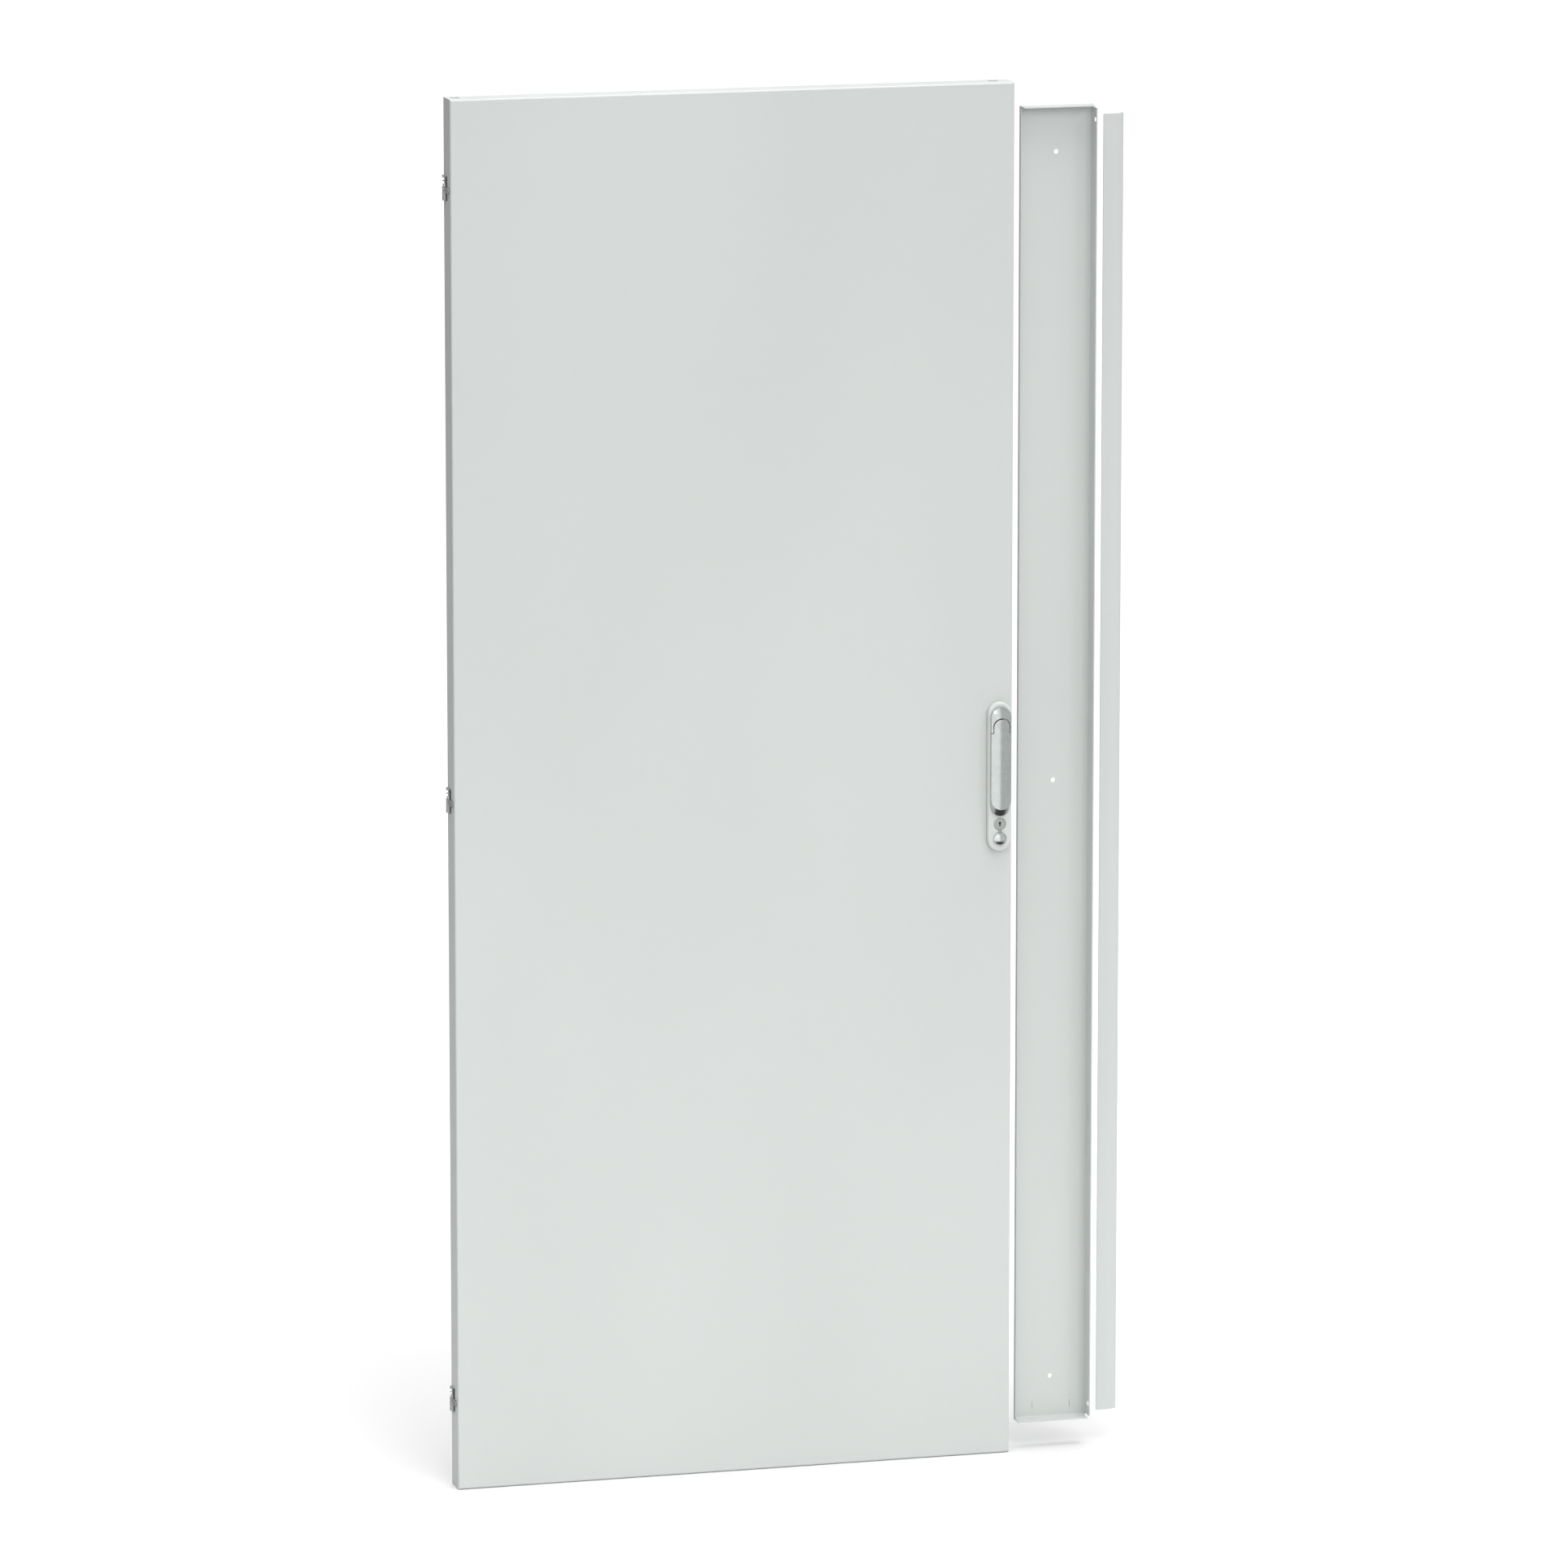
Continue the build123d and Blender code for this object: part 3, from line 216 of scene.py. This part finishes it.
GREY = linear(203, 207, 205)
finishes = {
    "door_paint": powder_coat("door_paint", GREY),
    "panel_paint": powder_coat("panel_paint", GREY),
    "strip_paint": powder_coat("strip_paint", GREY, 0.5 * MM),
    "escutcheon_paint": powder_coat("escutcheon_paint", linear(209, 214, 211), 1.0 * MM),
    "satin_zinc": cast_metal("satin_zinc", linear(196, 201, 199), 0.23, 0.6 * MM, 0.0012 * MM, 0.3 * MM),
    "cap_chrome": cast_metal("cap_chrome", linear(208, 212, 211), 0.17, 1.5 * MM, 0.004 * MM, 0.3 * MM),
    "lock_nickel": brushed("lock_nickel", linear(202, 205, 203), 0.30, (1, 1, 1)),
    "dark_zinc": cast_metal("dark_zinc", linear(168, 169, 170), 0.48, 0.35 * MM, 0.02 * MM, 0.35 * MM, 0.6),
    "gearbox_zinc": cast_metal("gearbox_zinc", linear(168, 170, 173), 0.5, 0.4 * MM, 0.03 * MM),
    "galvanised": zinc_coat("galvanised", linear(196, 200, 203)),
    "lock_steel": brushed("lock_steel", linear(190, 191, 190), 0.36, (1, 1, 0.15)),
    "pin_steel": brushed("pin_steel", linear(184, 186, 188), 0.32, (1, 1, 0.06)),
    "spring_steel": brushed("spring_steel", linear(188, 189, 190), 0.34, (1, 1, 1)),
    "rivet_alloy": brushed("rivet_alloy", linear(205, 206, 207), 0.38, (0.2, 1, 1)),
    "screw_steel": brushed("screw_steel", linear(200, 201, 203), 0.28, (1, 0.2, 1)),
    "foam": foam_bead("foam", linear(62, 62, 64)),
    "seal_rubber": moulded("seal_rubber", linear(44, 44, 45), 0.62, 0.4 * MM, 0.03 * MM),
    "guide_plastic": moulded("guide_plastic", linear(38, 38, 40), 0.5, 0.3 * MM, 0.02 * MM),
}
for entry in frame["record"]["subparts"]:
    node = frame["nodes"][entry["node"]]
    node.data.materials.clear()
    node.data.materials.append(finishes[entry["material_slot"]])


# ---- pieces made here ----
def piece(name, mesh, slot, body, *replaced):
    """Makes the mesh an object with that slot's finish, riding on that body."""
    data = bpy.data.meshes.new(name)
    mesh.to_mesh(data)
    mesh.free()
    data.materials.append(finishes[slot])
    made = bpy.data.objects.new(name, data)
    scene.collection.objects.link(made)
    for polygon in data.polygons:
        polygon.use_smooth = True
    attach(made, body)
    if replaced:
        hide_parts(*replaced)
    return made


def tube(mesh, points, radius, sides=12):
    """Adds a round wire along the points, with flat ends."""
    rings = []
    side = None
    for i, point in enumerate(points):
        along = (points[min(i + 1, len(points) - 1)] - points[max(i - 1, 0)]).normalized()
        if side is None:
            side = along.orthogonal()
        side = (side - along * side.dot(along)).normalized()
        up = along.cross(side)
        ring = []
        for k in range(sides):
            turn = 2 * math.pi * k / sides
            ring.append(mesh.verts.new(point + radius * (math.cos(turn) * side + math.sin(turn) * up)))
        rings.append(ring)
    for a, b in zip(rings, rings[1:]):
        for k in range(sides):
            mesh.faces.new((a[k], a[(k + 1) % sides], b[(k + 1) % sides], b[k]))
    mesh.faces.new(list(reversed(rings[0])))
    mesh.faces.new(rings[-1])


SPRING_WIRE = 0.5 * MM
SPRING_TURNS = 3.6
CLOSED_TURNS = 0.7
SPRING_STEPS = 150


def coil_spring(name, node, body):
    """A compression spring in the space of its CAD solid, with a nearly flat turn at each end."""
    low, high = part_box(node)
    centre = (low + high) / 2
    radius = (high.x - low.x) / 2 - SPRING_WIRE
    bottom, top = low.z + SPRING_WIRE, high.z - SPRING_WIRE
    end_rise = SPRING_WIRE
    open_turns = SPRING_TURNS - 2 * CLOSED_TURNS
    points = []
    for i in range(SPRING_STEPS + 1):
        turn = i / SPRING_STEPS * SPRING_TURNS
        climb = bottom + end_rise * min(turn, CLOSED_TURNS) / CLOSED_TURNS
        climb += (top - bottom - 2 * end_rise) * min(max((turn - CLOSED_TURNS) / open_turns, 0.0), 1.0)
        climb += end_rise * max(turn - (SPRING_TURNS - CLOSED_TURNS), 0.0) / CLOSED_TURNS
        angle = math.radians(150) + 2 * math.pi * turn
        x, y = centre.x + radius * math.cos(angle), centre.y + radius * math.sin(angle)
        points.append(Vector((x, y, climb)))
    mesh = bmesh.new()
    tube(mesh, points, SPRING_WIRE)
    spring = piece(name, mesh, "spring_steel", body, node)
    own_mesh(spring)


for end in ("top", "middle", "bottom"):
    coil_spring(f"coil_{end}", f"hinge_spring_{end}", "door")


BEAD_WIDTH = 12 * MM
BEAD_BEND = 9 * MM
BEAD_STEP = 6 * MM
CORNER_STEPS = 8
DOME_STEPS = 10


def bead_route(x0, x1, z0, z1):
    """Points along the bead's middle: four rounded corners joined by straight runs."""
    corners = (
        (x1 - BEAD_BEND, z0 + BEAD_BEND, -90),
        (x1 - BEAD_BEND, z1 - BEAD_BEND, 0),
        (x0 + BEAD_BEND, z1 - BEAD_BEND, 90),
        (x0 + BEAD_BEND, z0 + BEAD_BEND, 180),
    )
    arcs = []
    for x, z, start in corners:
        turns = [math.radians(start + 90 * k / CORNER_STEPS) for k in range(CORNER_STEPS + 1)]
        arcs.append([Vector((x + BEAD_BEND * math.cos(t), 0, z + BEAD_BEND * math.sin(t))) for t in turns])
    route = []
    for arc, following in zip(arcs, arcs[1:] + arcs[:1]):
        gap = following[0] - arc[-1]
        count = int(gap.length / BEAD_STEP)
        route += arc + [arc[-1] + gap * (k / count) for k in range(1, count)]
    return route


def sealing_bead():
    """The foamed bead: a low dome laid in one closed run, with small swells."""
    low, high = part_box("door_gasket")
    inset = BEAD_WIDTH / 2
    route = bead_route(low.x + inset, high.x - inset, low.z + inset, high.z - inset)
    mesh = bmesh.new()
    rings = []
    for i, point in enumerate(route):
        along = (route[(i + 1) % len(route)] - route[i - 1]).normalized()
        across = Vector((along.z, 0, -along.x))
        swell = noise.noise(Vector((point.x * 40, 3.1, point.z * 40)))
        half = BEAD_WIDTH / 2 * (0.9 + 0.08 * swell)
        height = (high.y - low.y) * (0.9 + 0.09 * swell)
        ring = []
        for k in range(DOME_STEPS + 1):
            turn = math.pi * k / DOME_STEPS
            reach = math.copysign(abs(math.cos(turn)) ** 0.8, math.cos(turn))
            lift = math.sin(turn) ** 0.7
            dome = Vector((0, low.y + height * lift, 0))
            ring.append(mesh.verts.new(point + across * (half * reach) + dome))
        rings.append(ring)
    for a, b in zip(rings, rings[1:] + rings[:1]):
        for k in range(DOME_STEPS):
            mesh.faces.new((a[k], b[k], b[k + 1], a[k + 1]))
        mesh.faces.new((a[-1], b[-1], b[0], a[0]))
    bmesh.ops.recalc_face_normals(mesh, faces=mesh.faces)
    piece("sealing_bead", mesh, "foam", "door", "door_gasket")


sealing_bead()


NEEDLE = 0.02 * MM


def revolve(mesh, centre, axis, profile, sides=24):
    """Adds a turned shape: profile holds (radius, distance along the axis)."""
    side = axis.orthogonal().normalized()
    up = axis.cross(side)
    rings = []
    for radius, along in profile:
        ring = []
        for k in range(sides):
            turn = 2 * math.pi * k / sides
            out = math.cos(turn) * side + math.sin(turn) * up
            ring.append(mesh.verts.new(centre + axis * along + out * max(radius, NEEDLE)))
        rings.append(ring)
    for a, b in zip(rings, rings[1:]):
        for k in range(sides):
            mesh.faces.new((a[k], a[(k + 1) % sides], b[(k + 1) % sides], b[k]))


FOOT_TOP = 1.51 * MM
UPRIGHT_FOOT = 4.2 * MM
UPRIGHT_WELDS = 19
CROSS_HALF_WIDTH = 20 * MM
CROSS_FOOT = 16.6 * MM
CROSS_WELDS = 6
WELD_PROFILE = (
    (0, 0.02 * MM),
    (1.5 * MM, 0.02 * MM),
    (2.0 * MM, 0.16 * MM),
    (2.6 * MM, 0.12 * MM),
    (2.9 * MM, 0),
)


def weld_row(start, end, margin, count):
    """Evenly spaced places between two ends, a margin in from each."""
    return [start + margin + k * (end - start - 2 * margin) / (count - 1) for k in range(count)]


def weld_marks():
    """Spot welds on the stiffeners' feet: a shallow dish with a raised ring."""
    mesh = bmesh.new()
    centres = []
    for node in ("hinge_side_stiffener", "lock_side_stiffener"):
        low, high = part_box(node)
        for x in (low.x + UPRIGHT_FOOT, high.x - UPRIGHT_FOOT):
            rows = weld_row(low.z, high.z, 30 * MM, UPRIGHT_WELDS)
            centres += [Vector((x, low.y + FOOT_TOP, z)) for z in rows]
    low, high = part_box("cross_stiffeners")
    for middle in (low.z + CROSS_HALF_WIDTH, (low.z + high.z) / 2, high.z - CROSS_HALF_WIDTH):
        for z in (middle - CROSS_FOOT, middle + CROSS_FOOT):
            columns = weld_row(low.x, high.x, 25 * MM, CROSS_WELDS)
            centres += [Vector((x, low.y + FOOT_TOP, z)) for x in columns]
    for centre in centres:
        revolve(mesh, centre, Vector((0, 1, 0)), WELD_PROFILE)
    piece("weld_marks", mesh, "galvanised", "door")


weld_marks()


# ---- floor, light and camera ----
def studio_floor():
    """A plain pale floor under the object; the white world takes over past its edges."""
    mesh = bmesh.new()
    level = cad_low.z - 0.5 * MM
    corners = ((-2.2, -2.4), (3.2, -2.4), (3.2, 3.2), (-2.2, 3.2))
    mesh.faces.new([mesh.verts.new((x, y, level)) for x, y in corners])
    data = bpy.data.meshes.new("studio_floor")
    mesh.to_mesh(data)
    mesh.free()
    floor = bpy.data.objects.new("studio_floor", data)
    scene.collection.objects.link(floor)
    pale = Finish("studio_floor")
    tone = pale.mix(pale.noise(1.5), linear(225, 225, 225), linear(229, 229, 229))
    data.materials.append(pale.done(Base_Color=tone, Roughness=0.9, Specular_IOR_Level=0.1))
    floor.visible_glossy = False


studio_floor()


def soft_sun(name, turn, height, strength, spread):
    """Even soft light from afar that polished parts do not mirror.
    It comes from turn degrees to the right of the front and height degrees above the floor."""
    light = bpy.data.lights.new(name, "SUN")
    light.energy = strength
    light.angle = math.radians(spread)
    lamp = bpy.data.objects.new(name, light)
    scene.collection.objects.link(lamp)
    turn, height = math.radians(turn), math.radians(height)
    level = math.cos(height)
    towards = Vector((math.sin(turn) * level, -math.cos(turn) * level, math.sin(height)))
    lamp.rotation_euler = (-towards).to_track_quat("-Z", "Y").to_euler()
    lamp.visible_glossy = False


def soft_box(name, place, target, side, power, mirrored=True):
    """A square light near the object, aimed at a point."""
    light = bpy.data.lights.new(name, "AREA")
    light.size = side
    light.energy = power
    lamp = bpy.data.objects.new(name, light)
    scene.collection.objects.link(lamp)
    lamp.location = place
    lamp.rotation_euler = (Vector(target) - Vector(place)).to_track_quat("-Z", "Y").to_euler()
    lamp.visible_camera = False
    lamp.visible_glossy = mirrored


soft_sun("overhead", 0, 88, 3.3, 66)
soft_sun("key", 10, 18, 0.60, 26)
soft_sun("side", 42, 36, 0.32, 14)
soft_box("glint", (-2.6, -4.2, 3.4), (0.75, -0.05, 0.0), 1.3, 26)
soft_box("upper_fill", (0.3, -2.6, 1.7), (0.3, 0.0, 0.9), 1.4, 17, mirrored=False)


def studio_world():
    """White behind the object, and soft light from all round that is stronger from the right.
    What the metal mirrors is brighter on the left, dim behind and dark towards the ground."""
    world = bpy.data.worlds.new("studio")
    scene.world = world
    world.use_nodes = True
    nodes, links = world.node_tree.nodes, world.node_tree.links

    def link(source, node, name):
        links.new(source, node.inputs[name])

    def ramp(source, low, high, low_to, high_to):
        node = nodes.new("ShaderNodeMapRange")
        link(source, node, "Value")
        for name, value in (("From Min", low), ("From Max", high), ("To Min", low_to), ("To Max", high_to)):
            node.inputs[name].default_value = value
        return node.outputs[0]

    def blend(share, first, second):
        node = nodes.new("ShaderNodeMix")
        link(share, node, "Factor")
        for name, value in (("A", first), ("B", second)):
            if isinstance(value, float):
                node.inputs[name].default_value = value
            else:
                link(value, node, name)
        return node.outputs[0]

    parts = nodes.new("ShaderNodeSeparateXYZ")
    link(nodes.new("ShaderNodeTexCoord").outputs["Generated"], parts, 0)
    across, depth, height = (parts.outputs[axis] for axis in "XYZ")
    ground = ramp(height, -0.06, 0.06, 1.0, 0.0)
    ambient = blend(ground, ramp(across, -0.8, 0.8, 0.16, 0.44), ramp(across, -0.8, 0.8, 0.12, 0.40))
    level = blend(ramp(depth, 0.10, 0.55, 0.0, 1.0), ramp(across, -0.02, 0.13, 1.28, 0.72), 0.34)
    mirrored = blend(ramp(height, -0.80, -0.42, 0.0, 1.0), 0.07, level)
    rays = nodes.new("ShaderNodeLightPath").outputs
    strength = blend(rays["Is Camera Ray"], blend(rays["Is Glossy Ray"], ambient, mirrored), 1.1)
    link(strength, nodes["Background"], "Strength")
    nodes["Background"].inputs["Color"].default_value = (1, 1, 1, 1)


studio_world()
scene.view_settings.view_transform = "Standard"
scene.view_settings.look = "None"

TURN, TILT = math.radians(15.15), math.radians(10.74)
LOOKED_AT = Vector((0.4461, -0.042, 0.005))
DISTANCE = 13.541
ahead = Vector((math.sin(TURN) * math.cos(TILT), math.cos(TURN) * math.cos(TILT), -math.sin(TILT)))
camera_data = bpy.data.cameras.new("camera")
camera_data.sensor_width = 36
camera_data.lens = 225.9
camera_data.clip_end = 100
camera = bpy.data.objects.new("camera", camera_data)
scene.collection.objects.link(camera)
camera.location = LOOKED_AT - ahead * DISTANCE
camera.rotation_euler = ahead.to_track_quat("-Z", "Y").to_euler()
scene.camera = camera
